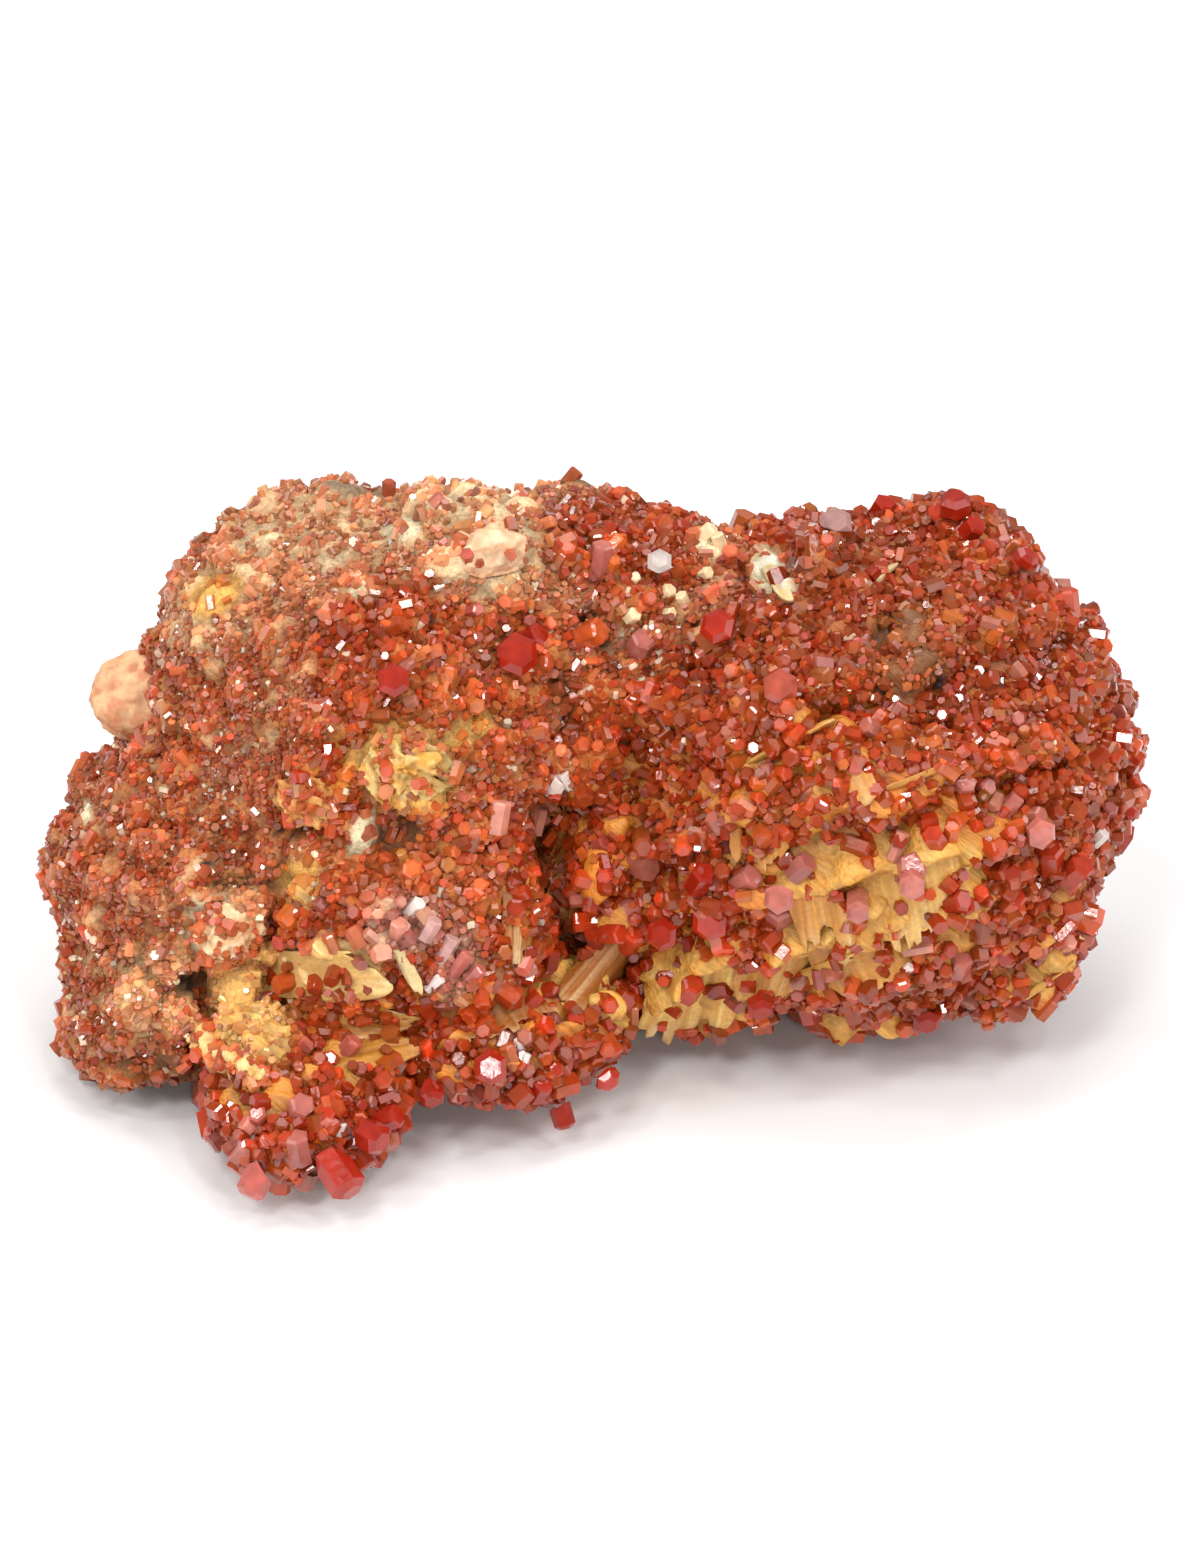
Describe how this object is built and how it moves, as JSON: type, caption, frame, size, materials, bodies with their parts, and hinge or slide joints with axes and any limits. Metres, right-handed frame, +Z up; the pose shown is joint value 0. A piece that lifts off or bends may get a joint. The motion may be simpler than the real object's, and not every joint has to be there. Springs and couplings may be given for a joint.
{
  "type": "vanadinite on matrix mineral specimen",
  "caption": "Hand specimen of red hexagonal vanadinite crystals crusting a lump of brown rock and golden bladed barite, resting on a flat underside.",
  "frame": {"origin": "on the flat underside of the rock, near its middle, at the level of the surface that the specimen rests on", "axes": "+X along the long side, from the rock shoulder towards the crystal dome; +Y towards the back; +Z up from the flat underside"},
  "size_m": [0.0924, 0.0602, 0.0469],
  "materials": {
    "rock": "rough, earthy brown to tan, matt",
    "barite": "golden, finely ribbed along the blades, satin",
    "vanadinite": "deep orange-red, glossy flat crystal faces, slightly translucent",
    "calcite": "cream to tan, fine grained, satin"
  },
  "bodies": {
    "root": {"barite_blade_breast": "barite", "barite_blade_cream_plate": "barite", "barite_blade_crevice": "barite", "barite_blade_curved": "barite", "barite_blade_diagonal": "barite", "barite_blade_dome_a": "barite", "barite_blade_dome_b": "barite", "barite_blade_dome_c": "barite", "barite_blade_dome_top": "barite", "barite_blade_fan_left": "barite", "barite_blade_fan_right": "barite", "barite_blade_foot_of_dome": "barite", "barite_blade_hollow": "barite", "barite_blade_ledge_lower": "barite", "barite_blade_ledge_upper": "barite", "barite_blade_low_right": "barite", "barite_blade_right": "barite", "barite_blade_under_dome": "barite", "barite_block_tan": "barite", "barite_block_yellow": "barite", "barite_breast": "barite", "barite_dome": "barite", "barite_tip": "barite", "calcite_patch": "calcite", "druse_breast": "vanadinite", "druse_dome": "vanadinite", "druse_rock": "vanadinite", "druse_tip": "vanadinite", "matrix_rock": "rock", "nodule_cream": "calcite", "nodule_tan": "calcite", "vanadinite_01": "vanadinite", "vanadinite_02": "vanadinite", "vanadinite_03": "vanadinite", "vanadinite_04": "vanadinite", "vanadinite_05": "vanadinite", "vanadinite_06": "vanadinite", "vanadinite_07": "vanadinite", "vanadinite_08": "vanadinite", "vanadinite_09": "vanadinite", "vanadinite_10": "vanadinite", "vanadinite_11": "vanadinite", "vanadinite_12": "vanadinite", "vanadinite_13": "vanadinite", "vanadinite_14": "vanadinite", "vanadinite_15": "vanadinite", "vanadinite_16": "vanadinite", "vanadinite_17": "vanadinite", "vanadinite_18": "vanadinite", "vanadinite_19": "vanadinite", "vanadinite_20": "vanadinite", "vanadinite_21": "vanadinite", "vanadinite_22": "vanadinite", "vanadinite_23": "vanadinite", "vanadinite_bare_01": "vanadinite", "vanadinite_bare_02": "vanadinite", "vanadinite_bare_03": "vanadinite", "vanadinite_bare_04": "vanadinite"}
  },
  "joints": []
}
